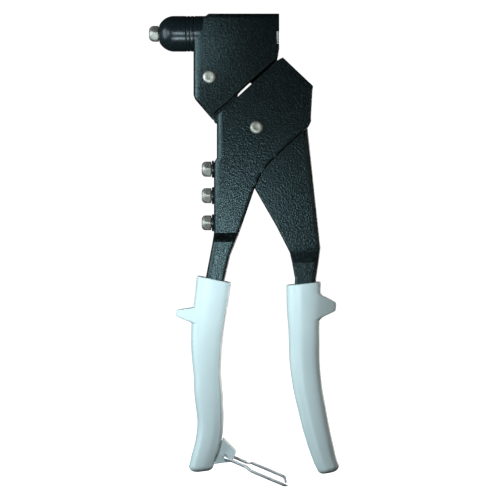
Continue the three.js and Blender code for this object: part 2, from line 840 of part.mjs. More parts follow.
// The sleeve's outer skin: a rounded section swept down the centre line, closed by a domed end.
// Lean turns the sections in the XZ plane, in radians, from square to the centre line.
function gripSkin(path, across, lean) {
  const curve = smooth(path);
  const up = new THREE.Vector3(0, -1, 0);
  const steps = 22;
  const rings = [];
  for (let i = 0; i <= steps; i++) {
    const t = i / steps;
    const tangent = curve.getTangent(t).applyAxisAngle(up, sample(lean, t));
    const [wide, deep] = [sample(across, t), sample(GRIP_DEEP, t)];
    rings.push(sectionRing(curve.getPoint(t), tangent, wide, deep, 2.7, 20));
  }
  const end = curve.getPoint(1);
  const tangent = curve.getTangent(1).applyAxisAngle(up, lean.at(-1));
  for (const [ahead, share] of [[1.3, 0.93], [2.5, 0.79], [3.3, 0.58], [3.7, 0.3]]) {
    const point = end.clone().addScaledVector(tangent, ahead);
    const [wide, deep] = [across.at(-1) * share, GRIP_DEEP.at(-1) * share];
    rings.push(sectionRing(point, tangent, wide, deep, 2.5, 20));
  }
  return loft(rings);
}

// The finger guard that stands out of the grip near its top.
function gripHorn({ root, end, rootHalf, endHalf }) {
  const from = new THREE.Vector3(root[0], 0, root[1]);
  const to = new THREE.Vector3(end[0], 0, end[1]);
  const tangent = to.clone().sub(from).normalize();
  const rings = [];
  for (const [t, swell, share] of [
    [0, 1, 1],
    [0.25, 0.62, 0.93],
    [0.5, 0.36, 0.82],
    [0.8, 0.12, 0.66],
    [0.93, 0, 0.55],
    [1, -0.45, 0.36],
  ]) {
    const across = endHalf + (rootHalf - endHalf) * swell;
    rings.push(sectionRing(from.clone().lerp(to, t), tangent, Math.max(across, 0.6), 7 * share, 2.2, 16));
  }
  return loft(rings);
}

// The space inside a sleeve: the channel that it is pushed onto, with the fitting gap all round.
function sleeveHollow(stations, leftRadius, rightRadius) {
  const hollow = stations
    .filter(({ z }) => z < GRIP_TOP + 14)
    .map(({ z, left, right }) => ({
      z,
      left: left - FIT,
      right: right + FIT,
      half: NECK_HALF + FIT,
    }));
  hollow.at(-1).z -= 1;
  return channel(hollow, leftRadius, rightRadius);
}

function handleGrip() {
  const { path, across, lean, horn } = HANDLE_GRIP;
  const { stations, bend, lip } = HANDLE;
  const hollow = sleeveHollow(stations, bend, lip);
  return cut(join(gripSkin(path, across, lean), gripHorn(horn)), hollow, bracketTongue(FIT));
}

function leverGrip() {
  const { path, across, lean, horn } = LEVER_GRIP;
  const hollow = sleeveHollow(LEVER.stations, LEVER.edge, LEVER.bend);
  return cut(join(gripSkin(path, across, lean), gripHorn(horn)), hollow);
}

// ---------------------------------------------------------------- latch

const BRACKET = { half: 4.8, holeRadius: 1.4 };
const CLEARANCE = 0.8; // between the bracket's edge and the grip

// The root of the latch bracket, which passes into the grip and is welded in the channel there.
function bracketTongue(gap) {
  const { half } = BRACKET;
  return sideSolid(
    outline([
      [33.6 - gap, -240 - gap],
      [39.6, -240.6 - gap],
      [43, -230.8 + gap],
      [33.6 - gap, -231.4 + gap],
    ]),
    -half + 1.2 - gap,
    half - 1.2 + gap,
  );
}

// Triangular bracket at the lower end of the handle's grip that the bail hangs from.
function latchBracket() {
  const { half, holeRadius } = BRACKET;
  const plate = sideSolid(
    outline([
      [41.8, -228.9, 0.6],
      [49.3, -236.4, 0.8],
      [47, -241.8, 0.8],
      [36.6, -243.2, 0.4],
    ]),
    -half,
    half,
  );
  const { path, across, lean } = HANDLE_GRIP;
  const grip = gripSkin(path, across.map((a) => a + CLEARANCE), lean);
  const hole = at(rod(-10, 10, holeRadius, "y", 16), BAIL_PIVOT);
  const tongue = bracketTongue(0);
  return cut(join(cut(plate, grip), tongue), hole);
}

// Spring-wire bail: two narrow arms hooked into the bracket, splayed to pass round the other grip.
function latchBail() {
  // One side of the wire as [distance from the pivot, distance from the middle plane].
  const arm = [
    [0, 1.2],
    [0, BAIL_NARROW - 1.6],
    [0.6, BAIL_NARROW - 0.3],
    [2, BAIL_NARROW],
    [11.5, BAIL_NARROW],
    [13, BAIL_NARROW + 0.6],
    [15.6, BAIL_WIDE - 0.6],
    [17, BAIL_WIDE],
    [33, BAIL_WIDE],
    [36, BAIL_WIDE - 0.9],
    [BAIL_LENGTH - 0.4, BAIL_WIDE - 3.4],
    [BAIL_LENGTH, BAIL_WIDE - 6],
  ];
  const both = [...arm.map(([u, v]) => [u, -v]), ...arm.reverse()];
  const [c, s] = [Math.cos(BAIL_TILT), Math.sin(BAIL_TILT)];
  const points = both.map(
    ([u, v]) => new THREE.Vector3(BAIL_PIVOT.x + u * c, v, BAIL_PIVOT.z + u * s),
  );
  return wire(new THREE.CatmullRomCurve3(points, false, "centripetal"), BAIL_WIRE, 56, 8);
}

// ---------------------------------------------------------------- assembly

const riveter = new THREE.Group();

function add(parent, name, look, manifold) {
  const mesh = new THREE.Mesh(geometryOf(manifold), look);
  mesh.name = name;
  parent.add(mesh);
}

const body = {};
for (const name of ["head", "puller", "pusher", "jaws", "lever", "handle", "bail"]) {
  body[name] = new THREE.Group();
  riveter.add(body[name]);
}

add(body.head, "head_frame", material.wrinkle, headFrame());
add(body.head, "nose_barrel", material.gloss, noseBarrel());
add(body.head, "barrel_mount_plate", material.zinc, barrelMountPlate());
add(body.head, "nosepiece", material.nickel, nosepiece(FITTED_BORE, FITTED_SHANK_END));
add(body.head, "rear_end_plate", material.zinc, rearEndPlate());
add(body.head, "front_pivot_pin", material.nickel, pivotPin(AXIS_PIN));
add(body.head, "front_pivot_clip", material.spring, pivotClip(AXIS_PIN));
const returnSpring = coilSpring(COLLAR_X + COLLAR_LENGTH + FIT, END_PLATE_X - FIT, 6.1, 0.65, 8);
add(body.head, "return_spring", material.spring, returnSpring);

add(body.puller, "jaw_case", material.steel, jawCase());
add(body.puller, "pull_tube", material.steel, pullTube());
add(body.puller, "lock_nut", material.zinc, lockNut());
const jawSpring = coilSpring(PUSHER.rear + FIT, TUBE.front - FIT, 4.1, 0.45, 4);
add(body.puller, "jaw_spring", material.spring, jawSpring);
add(body.pusher, "jaw_pusher", material.steel, jawPusher());
add(body.jaws, "jaw_upper", material.steel, jaw(1));
add(body.jaws, "jaw_lower", material.steel, jaw(-1));

add(body.lever, "lever_frame", material.wrinkle, leverFrame());
add(body.lever, "lever_grip", material.vinyl, leverGrip());
add(body.lever, "front_pivot_bush", material.zinc, pivotBush(AXIS_PIN));
add(body.lever, "main_pivot_bush", material.zinc, pivotBush(MAIN_PIN));
add(body.lever, "fork_pin_front", material.steel, forkPin(-1));
add(body.lever, "fork_pin_rear", material.steel, forkPin(1));

add(body.handle, "handle_frame", material.wrinkle, handleFrame());
add(body.handle, "handle_grip", material.vinyl, handleGrip());
add(body.handle, "main_pivot_pin", material.nickel, pivotPin(MAIN_PIN));
add(body.handle, "main_pivot_clip", material.spring, pivotClip(MAIN_PIN));
["small", "medium", "large"].forEach((size, i) => {
  add(body.handle, `spare_nosepiece_${size}`, material.nickel, spareNosepiece(i));
  add(body.handle, `nosepiece_boss_${i + 1}`, material.gloss, nosepieceBoss(SPARE_HEIGHTS[i]));
});
add(body.handle, "latch_bracket", material.vinyl, latchBracket());

add(body.bail, "latch_bail", material.nickel, latchBail());

export default riveter;
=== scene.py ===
import json
import math

import bmesh
import bpy
import numpy as np
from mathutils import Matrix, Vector


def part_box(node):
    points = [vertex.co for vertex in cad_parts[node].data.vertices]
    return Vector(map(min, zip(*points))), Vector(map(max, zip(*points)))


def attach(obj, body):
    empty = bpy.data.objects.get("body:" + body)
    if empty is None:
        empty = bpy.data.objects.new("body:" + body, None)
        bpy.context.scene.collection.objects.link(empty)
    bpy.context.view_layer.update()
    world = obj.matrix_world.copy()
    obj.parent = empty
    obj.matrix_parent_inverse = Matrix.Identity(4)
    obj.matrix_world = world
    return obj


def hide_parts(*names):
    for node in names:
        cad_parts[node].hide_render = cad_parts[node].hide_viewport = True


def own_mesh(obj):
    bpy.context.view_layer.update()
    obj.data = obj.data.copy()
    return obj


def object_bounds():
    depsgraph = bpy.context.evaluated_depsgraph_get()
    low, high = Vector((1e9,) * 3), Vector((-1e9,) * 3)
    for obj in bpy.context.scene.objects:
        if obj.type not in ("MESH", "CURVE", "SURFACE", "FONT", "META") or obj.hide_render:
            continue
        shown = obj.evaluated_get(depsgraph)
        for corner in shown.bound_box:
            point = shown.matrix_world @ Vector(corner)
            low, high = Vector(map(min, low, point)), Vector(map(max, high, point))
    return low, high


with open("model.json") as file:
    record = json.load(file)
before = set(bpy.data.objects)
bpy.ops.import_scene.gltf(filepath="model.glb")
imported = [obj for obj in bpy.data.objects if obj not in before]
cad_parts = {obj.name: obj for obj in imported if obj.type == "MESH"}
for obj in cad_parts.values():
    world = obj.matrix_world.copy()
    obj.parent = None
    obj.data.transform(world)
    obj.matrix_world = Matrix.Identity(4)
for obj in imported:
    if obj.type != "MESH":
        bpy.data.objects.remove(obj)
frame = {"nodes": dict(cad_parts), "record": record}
cad_low, cad_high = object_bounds()

# The visible model of a hand riveter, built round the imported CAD. Lengths are in millimetres, apart
# from the camera, the lights and the floor, which are in metres like Blender itself.
MM = 0.001
JOINTS = {j["name"]: j for j in frame["record"]["behaviour"]["joints"]}


def pivot_of(joint):
    """A joint's pivot in millimetres."""
    return np.array(JOINTS[joint]["pos_m"]) / MM


def box_mm(node):
    """A node's lowest and highest corner in millimetres."""
    low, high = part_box(node)
    return np.array(low) / MM, np.array(high) / MM


NOSE_LOW, NOSE_HIGH = box_mm("nosepiece")
HALF_FLATS = (NOSE_HIGH[2] - NOSE_LOW[2]) / 2  # from a nosepiece's axis to its flats

# ---------------------------------------------------------------- camera, floor and light

SENSOR_WIDTH = 36.0  # millimetres
VIEW_DISTANCE = 0.75  # from the lens to the middle of the part
VIEW_WIDTH = 0.2834  # what the picture shows across at that distance
VIEW_CENTRE = Vector((0.0571, 0.0, -0.1225))

COOL = (0.74, 0.95, 1.04)
PALE = (1.0, 1.0, 0.96)
# Each light's place, aim, size across and down, watts, colour and spread in degrees.
LIGHTS = {
    "left_key": ((0.010, -0.165, -0.132), (0.03, 0, -0.13), (0.045, 0.05), 0.27, COOL, 180),
    "bend_light": ((-0.13, -0.18, -0.02), (0.028, -0.012, -0.025), (0.05, 0.12), 0.028, COOL, 52),
    "nose_strip": ((0.015, -0.09, -0.010), (0.019, 0, 0), (0.018, 0.018), 0.0034, COOL, 60),
    "left_soft": ((-0.45, -0.19, -0.04), VIEW_CENTRE, (0.2, 0.4), 2.6, COOL, 180),
    "right_fill": ((0.50, -0.40, -0.10), VIEW_CENTRE, (0.3, 0.5), 0.42, PALE, 180),
    "back_light": ((0.50, 0.52, -0.06), VIEW_CENTRE, (0.5, 0.6), 5.0, PALE, 180),
}

BACKDROP = 1.05  # how bright the floor and the world look to the camera
WORLD_FILL = 0.03  # how much light the world itself gives
FLOOR_HALF = 8.0
FLOOR_GAP = 0.0002  # the floor's distance under the lowest point


def make_camera():
    data = bpy.data.cameras.new("camera")
    data.sensor_width = SENSOR_WIDTH
    data.lens = data.sensor_width * VIEW_DISTANCE / VIEW_WIDTH
    data.clip_start, data.clip_end = 0.02, 50.0
    camera = bpy.data.objects.new("camera", data)
    camera.location = VIEW_CENTRE - Vector((0, VIEW_DISTANCE, 0))
    camera.rotation_euler = (math.pi / 2, 0, 0)
    bpy.context.scene.collection.objects.link(camera)
    bpy.context.scene.camera = camera


def area_light(name, place, aim, size, power, colour, spread):
    data = bpy.data.lights.new(name, "AREA")
    data.shape = "RECTANGLE"
    data.size, data.size_y = size
    data.energy = power
    data.color = colour
    data.spread = math.radians(spread)
    light = bpy.data.objects.new(name, data)
    light.location = place
    direction = Vector(aim) - Vector(place)
    light.rotation_euler = direction.to_track_quat("-Z", "Y").to_euler()
    light.visible_camera = False
    bpy.context.scene.collection.objects.link(light)


def make_world():
    """White to the camera, and a faint fill for everything else."""
    world = bpy.data.worlds.new("studio")
    bpy.context.scene.world = world
    world.use_nodes = True
    tree = world.node_tree
    tree.nodes.clear()
    out = tree.nodes.new("ShaderNodeOutputWorld")
    mix = tree.nodes.new("ShaderNodeMixShader")
    path = tree.nodes.new("ShaderNodeLightPath")
    fill = tree.nodes.new("ShaderNodeBackground")
    seen = tree.nodes.new("ShaderNodeBackground")
    fill.inputs["Color"].default_value = (1.0, 1.0, 0.97, 1)
    fill.inputs["Strength"].default_value = WORLD_FILL
    seen.inputs["Color"].default_value = (1, 1, 1, 1)
    seen.inputs["Strength"].default_value = BACKDROP
    tree.links.new(path.outputs["Is Camera Ray"], mix.inputs["Fac"])
    tree.links.new(fill.outputs[0], mix.inputs[1])
    tree.links.new(seen.outputs[0], mix.inputs[2])
    tree.links.new(mix.outputs[0], out.inputs["Surface"])


def make_floor():
    """A wide pale floor just under the lowest point, as bright as the world behind it."""
    height = cad_low[2] - FLOOR_GAP
    mesh = bpy.data.meshes.new("floor")
    corners = [(x * FLOOR_HALF, y * FLOOR_HALF, height) for x, y in ((-1, -1), (1, -1), (1, 1), (-1, 1))]
    mesh.from_pydata(corners, [], [(0, 1, 2, 3)])
    floor = bpy.data.objects.new("floor", mesh)
    bpy.context.scene.collection.objects.link(floor)
    material = bpy.data.materials.new("pale_floor")
    material.use_nodes = True
    shader = material.node_tree.nodes["Principled BSDF"]
    shader.inputs["Base Color"].default_value = (0.86, 0.87, 0.87, 1)
    shader.inputs["Roughness"].default_value = 0.9
    shader.inputs["Specular IOR Level"].default_value = 0.0
    shader.inputs["Emission Color"].default_value = (1, 1, 1, 1)
    shader.inputs["Emission Strength"].default_value = BACKDROP
    mesh.materials.append(material)
    floor.visible_glossy = False
    floor.visible_diffuse = False


# ---------------------------------------------------------------- materials


class Look:
    """A node material built step by step round one Principled shader."""

    def __init__(self, name, roughness, metallic=0.0):
        self.material = bpy.data.materials.new(name)
        self.material.use_nodes = True
        self.tree = self.material.node_tree
        self.shader = self.tree.nodes["Principled BSDF"]
        self.shader.inputs["Metallic"].default_value = metallic
        self.shader.inputs["Roughness"].default_value = roughness
        self.place = self.add("ShaderNodeTexCoord").outputs["Object"]

    def add(self, kind, **settings):
        node = self.tree.nodes.new(kind)
        for key, value in settings.items():
            setattr(node, key, value)
        return node

    def link(self, source, target):
        self.tree.links.new(source, target)

    def stretched(self, scale):
        """Object coordinates with each axis scaled on its own."""
        node = self.add("ShaderNodeMapping")
        node.inputs["Scale"].default_value = scale
        self.link(self.place, node.inputs["Vector"])
        return node.outputs["Vector"]

    def noise(self, scale, detail, rough, place=None):
        node = self.add("ShaderNodeTexNoise")
        node.inputs["Scale"].default_value = scale
        node.inputs["Detail"].default_value = detail
        node.inputs["Roughness"].default_value = rough
        self.link(place or self.place, node.inputs["Vector"])
        return node.outputs["Fac"]

    def cells(self, scale, place):
        node = self.add("ShaderNodeTexVoronoi", feature="SMOOTH_F1")
        node.inputs["Scale"].default_value = scale
        self.link(place, node.inputs["Vector"])
        return node.outputs["Distance"]

    def warped(self, scale, amount):
        """Object coordinates pushed about by a noise, so that cells laid on them look grown."""
        node = self.add("ShaderNodeTexNoise")
        node.inputs["Scale"].default_value = scale
        self.link(self.place, node.inputs["Vector"])
        mix = self.add("ShaderNodeVectorMath", operation="MULTIPLY_ADD")
        mix.inputs[1].default_value = (amount, amount, amount)
        self.link(node.outputs["Color"], mix.inputs[0])
        self.link(self.place, mix.inputs[2])
        return mix.outputs["Vector"]

    def ramp(self, value, *stops):
        """Maps a value through (position, colour) stops."""
        node = self.add("ShaderNodeValToRGB")
        band = node.color_ramp
        while len(band.elements) < len(stops):
            band.elements.new(0.5)
        for element, (at, colour) in zip(band.elements, stops):
            element.position = at
            element.color = (*colour, 1)
        self.link(value, node.inputs["Fac"])
        return node.outputs["Color"]

    def span(self, value, *limits):
        """Maps a value from one range to another: limits are the first range's ends, then the second's."""
        node = self.add("ShaderNodeMapRange")
        for name, limit in zip(("From Min", "From Max", "To Min", "To Max"), limits):
            node.inputs[name].default_value = limit
        self.link(value, node.inputs["Value"])
        return node.outputs["Result"]

    def sums(self, first, second, share=1.0):
        """First plus second times share."""
        node = self.add("ShaderNodeMath", operation="MULTIPLY_ADD")
        node.inputs[1].default_value = share
        self.link(second, node.inputs[0])
        self.link(first, node.inputs[2])
        return node.outputs["Value"]

    def mix(self, share, first, second):
        """A colour that goes from first to second with share. Each colour is a tuple or an output."""
        node = self.add("ShaderNodeMix", data_type="RGBA")
        share_socket, first_socket, second_socket = (node.inputs[key] for key in (0, 6, 7))
        self.link(share, share_socket)
        for value, socket in ((first, first_socket), (second, second_socket)):
            if isinstance(value, tuple):
                socket.default_value = (*value, 1)
            else:
                self.link(value, socket)
        return node.outputs[2]

    def colour(self, value):
        self.link(value, self.shader.inputs["Base Color"])

    def roughness(self, value):
        self.link(value, self.shader.inputs["Roughness"])

    def bump(self, height, strength, distance):
        """Bump from a height of 0 to 1, with its distance in millimetres."""
        node = self.add("ShaderNodeBump")
        node.inputs["Strength"].default_value = strength
        node.inputs["Distance"].default_value = distance * MM
        self.link(height, node.inputs["Height"])
        self.link(node.outputs["Normal"], self.shader.inputs["Normal"])


def wrinkle_paint():
    """Dark wrinkle enamel: a network of low glossy ridges about a millimetre apart."""
    look = Look("wrinkle_paint", 0.4)
    grown = look.warped(900, 0.0009)
    cells = look.cells(1200, grown)
    fine = look.noise(2500, 2.0, 0.6)
    blotch = look.noise(900, 3.0, 0.7)
    height = look.sums(look.sums(cells, blotch, 1.2), fine, 0.5)
    tone = look.ramp(
        look.sums(blotch, fine, 0.6),
        (0.78, (0.0003, 0.0004, 0.0004)),
        (0.90, (0.0030, 0.0042, 0.0042)),
        (1.0, (0.0260, 0.0350, 0.0350)),
    )
    look.colour(tone)
    look.roughness(look.span(blotch, 0.3, 0.7, 0.40, 0.26))
    look.bump(height, 1.0, 0.14)
    look.shader.inputs["Specular IOR Level"].default_value = 0.42
    look.shader.inputs["Specular Tint"].default_value = (0.74, 0.99, 1.0, 1)
    return look.material


def gloss_paint():
    """Smooth black enamel with a faint turned grain and fine dust."""
    look = Look("gloss_paint", 0.3)
    grain = look.noise(260, 2.0, 0.5, look.stretched((9.0, 1.0, 1.0)))
    dust = look.noise(1500, 2.0, 0.6)
    dusty = look.span(dust, 0.55, 0.8, 0.0, 0.5)
    look.colour(look.mix(dusty, (0.005, 0.008, 0.009), (0.022, 0.032, 0.034)))
    look.roughness(look.span(grain, 0.3, 0.7, 0.22, 0.36))
    look.bump(look.sums(grain, dust, 0.3), 0.3, 0.06)
    look.shader.inputs["Specular IOR Level"].default_value = 0.2
    look.shader.inputs["Coat Weight"].default_value = 0.08
    look.shader.inputs["Coat Roughness"].default_value = 0.24
    return look.material


def metal(name, bright, dull, roughness, grain_axes, tarnish, painted_shade_x):
    """Plated or turned metal: a directional grain, patches of a duller colour and soft pits.

    The last argument is an x in millimetres or None: whatever lies in front of it is painted dark, as
    painted shade where the plate shows in the seam between the barrel and the head."""
    look = Look(name, roughness, 1.0)
    grain = look.noise(420, 3.0, 0.6, look.stretched(grain_axes))
    patches = look.noise(260, 4.0, 0.65)
    pits = look.noise(1700, 2.0, 0.5)
    share = look.span(look.sums(patches, pits, 0.25), 0.52, 0.86, 0.0, tarnish)
    colour = look.mix(share, bright, dull)
    # Painted shade: in front of that x the colour goes to near-black, standing in for the shade in the
    # seam between the barrel and the head.
    if painted_shade_x:
        split = look.add("ShaderNodeSeparateXYZ")
        look.link(look.place, split.inputs[0])
        edge = (painted_shade_x - 1) * MM, (painted_shade_x + 1) * MM
        painted = look.span(split.outputs["X"], *edge, 1.0, 0.0)
        colour = look.mix(painted, colour, (0.010, 0.015, 0.015))
    look.colour(colour)
    uneven = look.sums(grain, patches, 0.6)
    look.roughness(look.span(uneven, 0.5, 1.1, roughness - 0.07, roughness + 0.12))
    look.bump(look.sums(grain, pits, 0.5), 0.35, 0.03)
    return look.material


def grip_vinyl():
    """Satin pale vinyl with a fine mould texture and slight handling marks."""
    look = Look("grip_vinyl", 0.42)
    cloud = look.noise(38, 3.0, 0.5)
    mould = look.noise(1500, 3.0, 0.6)
    marks = look.noise(190, 5.0, 0.75, look.stretched((1.0, 1.0, 0.35)))
    clouded = look.span(cloud, 0.3, 0.7, 0.0, 1.0)
    tone = look.mix(clouded, (0.56, 0.60, 0.585), (0.61, 0.65, 0.63))
    marked = look.span(marks, 0.62, 0.8, 0.0, 0.35)
    look.colour(look.mix(marked, tone, (0.45, 0.48, 0.46)))
    look.roughness(look.span(look.sums(mould, marks, 0.6), 0.5, 1.1, 0.36, 0.52))
    look.bump(look.sums(mould, marks, 0.5), 0.22, 0.05)
    look.shader.inputs["Specular IOR Level"].default_value = 0.45
    look.shader.inputs["Subsurface Weight"].default_value = 0.06
    look.shader.inputs["Subsurface Radius"].default_value = (0.004, 0.005, 0.005)
    look.shader.inputs["Subsurface Scale"].default_value = 0.6
    return look.material


# Each metal's bright and dull colour, roughness, stretch of the grain, share of dull, and the x in front
# of which it carries painted shade.
METALS = {
    "nickel_plate": ((0.45, 0.415, 0.365), (0.17, 0.13, 0.095), 0.56, (6.0, 1.0, 1.0), 0.8, None),
    "zinc_plate": ((0.78, 0.78, 0.76), (0.45, 0.45, 0.42), 0.36, (1.0, 4.0, 1.0), 0.6, 38),
    "machined_steel": ((0.62, 0.61, 0.60), (0.32, 0.30, 0.28), 0.32, (9.0, 1.0, 1.0), 0.5, None),
    "spring_steel": ((0.46, 0.46, 0.47), (0.20, 0.19, 0.18), 0.34, (2.0, 2.0, 2.0), 0.6, None),
    "bright_wire": ((0.96, 0.93, 0.94), (0.62, 0.56, 0.58), 0.52, (1.0, 5.0, 1.0), 0.6, None),
}
LOOKS = {
    "wrinkle_paint": wrinkle_paint(),
    "gloss_paint": gloss_paint(),
    **{name: metal(name, *numbers) for name, numbers in METALS.items()},
    "grip_vinyl": grip_vinyl(),
}


# ---------------------------------------------------------------- mesh helpers


def piece(name, mesh, body, slot, *nodes):
    """An object for a mesh whose vertices are in metres, riding on a body in place of CAD nodes."""
    made = bpy.data.objects.new(name, mesh)
    bpy.context.scene.collection.objects.link(made)
    mesh.materials.append(LOOKS[slot])
    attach(made, body)
    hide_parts(*nodes)
    return made


def mesh_of(name, points, faces):
    """A mesh from points in millimetres, with all its faces turned outwards."""
    mesh = bpy.data.meshes.new(name)
    mesh.from_pydata([tuple(np.asarray(p) * MM) for p in points], [], faces)
    work = bmesh.new()
    work.from_mesh(mesh)
    bmesh.ops.recalc_face_normals(work, faces=work.faces)
    work.to_mesh(mesh)
    work.free()
    mesh.shade_smooth()
    return mesh


def filleted(corners, steps=4):
    """The points of a profile whose corners are (along, radius) or (along, radius, fillet)."""
    points = []
    for i, corner in enumerate(corners):
        here = np.array(corner[:2], float)
        reach = corner[2] if len(corner) > 2 else 0.0
        if not reach or i in (0, len(corners) - 1):
            points.append(here)
            continue
        before = np.array(corners[i - 1][:2], float) - here
        after = np.array(corners[i + 1][:2], float) - here
        reach = min(reach, 0.49 * np.linalg.norm(before), 0.49 * np.linalg.norm(after))
        start = here + before / np.linalg.norm(before) * reach
        end = here + after / np.linalg.norm(after) * reach
        for t in np.linspace(0, 1, steps + 1):
            points.append((1 - t) ** 2 * start + 2 * t * (1 - t) * here + t * t * end)
    return points


def turned(name, profile, count, axis, centre=(0, 0, 0), closed=False):
    """The mesh of a profile turned about X or Y through centre, in a number of steps.

    An end of the profile that lies on the axis becomes a single point. A closed profile is a ring."""
    points, rings = [], []
    for along, radius in profile:
        if radius < 1e-6:
            rings.append([len(points)])
            points.append((along, 0.0, 0.0))
            continue
        rings.append(list(range(len(points), len(points) + count)))
        for i in range(count):
            angle = 2 * math.pi * i / count
            points.append((along, radius * math.cos(angle), radius * math.sin(angle)))
    if closed:
        rings.append(rings[0])
    faces = []
    for ring, following in zip(rings, rings[1:]):
        for i in range(count):
            k = (i + 1) % count
            here = [ring[j % len(ring)] for j in (i, k)]
            there = [following[j % len(following)] for j in (k, i)]
            face = tuple(dict.fromkeys(here + there))
            if len(face) > 2:
                faces.append(face)
    points = np.array(points)
    if axis == "y":
        points = points[:, [1, 0, 2]]
    return mesh_of(name, points + np.array(centre), faces)


def grid_faces(rings, count, close_ends=True):
    """Faces between rings of count points each, with one flat face over the first and the last ring."""
    faces = []
    for i in range(rings - 1):
        for j in range(count):
            k = (j + 1) % count
            faces.append((i * count + j, i * count + k, (i + 1) * count + k, (i + 1) * count + j))
    if close_ends:
        faces.append(tuple(range(count)))
        faces.append(tuple(range((rings - 1) * count, rings * count)))
    return faces


def swept(name, path, radius, count):
    """A round wire along a path, with rounded ends and a number of points in each ring."""
    path = np.asarray(path, float)
    tangents = np.gradient(path, axis=0)
    tangents /= np.linalg.norm(tangents, axis=1)[:, None]
    across = np.cross(tangents[0], (0.3, 0.5, 0.8))
    points = []
    last = len(path) - 1
    # Index in the path, distance ahead of that point, and share of the radius.
    stations = [(0, -radius * 0.5, 0.35), (0, -radius * 0.4, 0.75)]
    stations += [(i, 0.0, 1.0) for i in range(len(path))]
    stations += [(last, radius * 0.4, 0.75), (last, radius * 0.5, 0.35)]
    for i, ahead, share in stations:
        across = across - tangents[i] * np.dot(across, tangents[i])
        across /= np.linalg.norm(across)
        other = np.cross(tangents[i], across)
        centre = path[i] + tangents[i] * ahead
        for j in range(count):
            angle = 2 * math.pi * j / count
            outwards = across * math.cos(angle) + other * math.sin(angle)
            points.append(centre + radius * share * outwards)
    return mesh_of(name, points, grid_faces(len(stations), count))


def smooth_path(points, steps):
    """A Catmull-Rom curve through points, with a number of steps in each span."""
    points = [np.asarray(p, float) for p in points]
    padded = [2 * points[0] - points[1], *points, 2 * points[-1] - points[-2]]
    out = []
    for i in range(1, len(padded) - 2):
        p0, p1, p2, p3 = padded[i - 1:i + 3]
        second, third = 2 * p0 - 5 * p1 + 4 * p2 - p3, 3 * p1 - p0 - 3 * p2 + p3
        for t in np.arange(steps) / steps:
            out.append(0.5 * (2 * p1 + (p2 - p0) * t + second * t**2 + third * t**3))
    out.append(points[-1])
    return np.array(out)


WELD = 0.002  # vertices closer than this are one
FLAT_ANGLE = math.radians(0.6)  # faces that meet at less than this become one
SHARP_ANGLE = math.radians(26)  # edges sharper than this are rounded
SIDE_BAND = 0.05  # how far from the outermost y a vertex still belongs to a side face
LEAST_EDGE = 0.8  # shorter edges keep the narrow rounding
END_GAP = 2.0  # a wide rounding stops this far from the outline's corners
LARGE_FACE = 8 * MM**2  # square metres: side faces larger than this get a rim
RIM_WIDTH = 0.2


def wide_edges(work, sharp, towards):
    """The sharp edges between a side face of a channel and its face in one direction.

    The edge at each end of a run of them is cut, or left out if it is short, so that the rounding
    stays clear of the outline's corners."""
    side = max(abs(v.co.y) for v in work.verts) - SIDE_BAND * MM
    chosen = []
    for edge in sharp:
        normals = [face.normal for face in edge.link_faces]
        on_side = all(abs(v.co.y) > side for v in edge.verts)
        facing = any(abs(n.y) > 0.99 for n in normals) and any(n.dot(towards) > 0.85 for n in normals)
        if on_side and facing and edge.calc_length() > LEAST_EDGE * MM:
            chosen.append(edge)
    ends = [(e, v) for e in chosen for v in e.verts if sum(other in chosen for other in v.link_edges) == 1]
    for edge, vertex in ends:
        if edge.calc_length() > 1.5 * END_GAP * MM:
            bmesh.utils.edge_split(edge, vertex, END_GAP * MM / edge.calc_length())
        elif edge in chosen:
            chosen.remove(edge)
    return chosen


def refined(node, body, slot, width, segments=2, wide=None):
    """A CAD node's own shape with clean flat faces, rounded edges and even shading.

    Wide is a direction and a width, for the long edges of a channel that face that direction."""
    mesh = bpy.data.meshes.new(node + "_fine")
    work = bmesh.new()
    work.from_mesh(frame["nodes"][node].data)
    bmesh.ops.remove_doubles(work, verts=work.verts, dist=WELD * MM)
    bmesh.ops.dissolve_limit(
        work, angle_limit=FLAT_ANGLE, verts=work.verts, edges=work.edges, use_dissolve_boundaries=False
    )

    def sharp_edges():
        return [e for e in work.edges if len(e.link_faces) == 2 and e.calc_face_angle(0.0) > SHARP_ANGLE]

    def rounded(edges, reach, steps, clamp):
        bmesh.ops.bevel(
            work, geom=edges, offset=reach * MM, offset_type="OFFSET", segments=steps, profile=0.5,
            affect="EDGES", clamp_overlap=clamp, loop_slide=False, material=-1,
        )

    if wide:
        direction, reach = wide
        rounded(wide_edges(work, sharp_edges(), Vector(direction).normalized()), reach, 5, False)
        work.normal_update()
    rounded(sharp_edges(), width, segments, True)
    bmesh.ops.recalc_face_normals(work, faces=work.faces)
    # A rim inside each large side face keeps its shading flat right up to the rounded edges.
    work.normal_update()
    flats = [f for f in work.faces if abs(f.normal.y) > 0.999 and f.calc_area() > LARGE_FACE]
    bmesh.ops.inset_individual(work, faces=flats, thickness=RIM_WIDTH * MM, use_even_offset=True)
    work.to_mesh(mesh)
    work.free()
    mesh.shade_smooth()
    made = piece(node + "_fine", mesh, body, slot, node)
    weighted = made.modifiers.new("even_shading", "WEIGHTED_NORMAL")
    weighted.keep_sharp = True
    weighted.weight = 60


# ---------------------------------------------------------------- barrel, nosepieces, pins and springs


DOME_LENGTH = 8.3
DOME_BULGE = 1.45  # above 1, the dome is slimmer near its mouth than an ellipse
MOUTH_RADIUS = 4.4
GROOVES_AT = (21.4, 23.4, 25.6)  # x of the middle of each groove
GROOVE_DEPTH = 0.3
GROOVE_HALF_TOP, GROOVE_HALF_FLOOR = 0.42, 0.16
ROOT_STEP = 0.4  # the outside ends this far in front of the spigot's end
SPIGOT_RADIUS = 8.5  # where the barrel meets the mount plate
CAVITY_RADIUS = 7.5
CAVITY_FLOOR = 12.6  # its x
HOLE_RADIUS = 3.2  # for the nosepiece's shank


